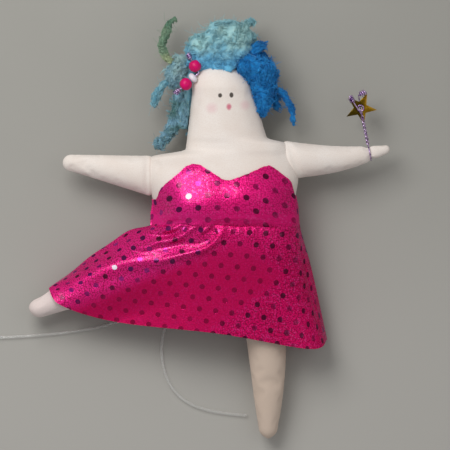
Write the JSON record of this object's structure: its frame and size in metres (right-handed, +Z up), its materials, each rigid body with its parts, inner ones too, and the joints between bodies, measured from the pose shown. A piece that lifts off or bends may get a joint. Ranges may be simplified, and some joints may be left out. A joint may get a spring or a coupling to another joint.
{
  "type": "fairy tree topper",
  "caption": "Stuffed cloth fairy doll in a foil-dot dress, with curly wool hair, hair beads, a wire star wand and a tie cord, used to top a holiday tree.",
  "frame": {"origin": "centre of the footprint of the doll as it lies on its back, on the table, cord left out", "axes": "+Y from the feet to the head, +Z up out of the front of the doll, +X towards the arm with the wand"},
  "size_m": [0.248, 0.2634, 0.0462],
  "materials": {
    "cotton_skin": "plain woven cotton",
    "fibre_filling": "loose polyester fibre",
    "sewing_thread": "cotton thread",
    "foil_fabric": "stretch knit with foil dots",
    "aqua_wool": "dyed curly wool",
    "blue_wool": "dyed curly wool",
    "sage_wool": "dyed curly wool",
    "pink_wood": "painted",
    "white_wood": "painted",
    "purple_wire": "anodised",
    "gold_sheet": "polished",
    "clear_cord": "clear"
  },
  "bodies": {
    "torso": {"torso_front": "cotton_skin", "torso_back": "cotton_skin", "torso_stuffing": "fibre_filling", "shoulder_thread_right": "sewing_thread", "shoulder_thread_left": "sewing_thread", "hip_thread_right": "sewing_thread", "hip_thread_left": "sewing_thread", "bodice_front": "foil_fabric", "bodice_back": "foil_fabric", "skirt_front": "foil_fabric", "skirt_back": "foil_fabric", "hair_wire": "purple_wire", "hair_back_cap": "aqua_wool", "hair_crown": "aqua_wool", "hair_blue_lock": "blue_wool", "hair_blue_nub": "blue_wool", "hair_blue_short_tail": "blue_wool", "hair_blue_long_tail": "blue_wool", "hair_left_mass": "aqua_wool", "hair_green_curl": "sage_wool", "hair_left_loop": "sage_wool", "hair_left_hang": "sage_wool", "hair_left_inner": "aqua_wool", "hair_crown_curl": "aqua_wool", "tie_tab": "foil_fabric", "tie_left": "clear_cord", "tie_right": "clear_cord"},
    "right_arm": {"right_arm_front": "cotton_skin", "right_arm_back": "cotton_skin", "right_arm_stuffing": "fibre_filling"},
    "left_arm": {"left_arm_front": "cotton_skin", "left_arm_back": "cotton_skin", "left_arm_stuffing": "fibre_filling", "wand_wire": "purple_wire"},
    "right_leg": {"right_leg_front": "cotton_skin", "right_leg_back": "cotton_skin", "right_leg_stuffing": "fibre_filling"},
    "left_leg": {"left_leg_front": "cotton_skin", "left_leg_back": "cotton_skin", "left_leg_stuffing": "fibre_filling"},
    "star": {"wand_star": "gold_sheet"},
    "upper_bead": {"bead_upper": "pink_wood"},
    "disc_bead": {"bead_disc": "white_wood"},
    "lower_bead": {"bead_lower": "pink_wood"}
  },
  "joints": [
    {"name": "right_shoulder", "type": "hinge", "parent": "torso", "child": "right_arm", "pos_m": [-0.03832, 0.03282, 0.0228], "axis": [0, 1, 0], "range_deg": [-55, 60]},
    {"name": "left_shoulder", "type": "hinge", "parent": "torso", "child": "left_arm", "pos_m": [0.05268, 0.04302, 0.0228], "axis": [0.3827, -0.9239, 0], "range_deg": [-55, 60]},
    {"name": "right_hip", "type": "hinge", "parent": "torso", "child": "right_leg", "pos_m": [-0.02902, -0.02178, 0.0228], "axis": [-0.284, 0.9588, 0], "range_deg": [-25, 45], "deforming": ["skirt_front", "skirt_back"]},
    {"name": "left_hip", "type": "hinge", "parent": "torso", "child": "left_leg", "pos_m": [0.03248, -0.03628, 0.0228], "axis": [-1, 0, 0], "range_deg": [-25, 45], "deforming": ["skirt_front", "skirt_back"]},
    {"name": "star_swing", "type": "hinge", "parent": "left_arm", "child": "star", "pos_m": [0.09461, 0.07494, 0.01789], "axis": [0, 0, 1], "range_deg": [-12, 12]},
    {"name": "upper_bead_spin", "type": "hinge", "parent": "torso", "child": "upper_bead", "pos_m": [-0.00889, 0.10114, 0.0316], "axis": [-0.515, 0.8572, 0], "continuous": true},
    {"name": "disc_bead_spin", "type": "hinge", "parent": "torso", "child": "disc_bead", "pos_m": [-0.01019, 0.09374, 0.0316], "axis": [-0.7547, -0.6561, 0], "continuous": true},
    {"name": "lower_bead_spin", "type": "hinge", "parent": "torso", "child": "lower_bead", "pos_m": [-0.01465, 0.08987, 0.0316], "axis": [-0.7547, -0.6561, 0], "continuous": true}
  ]
}
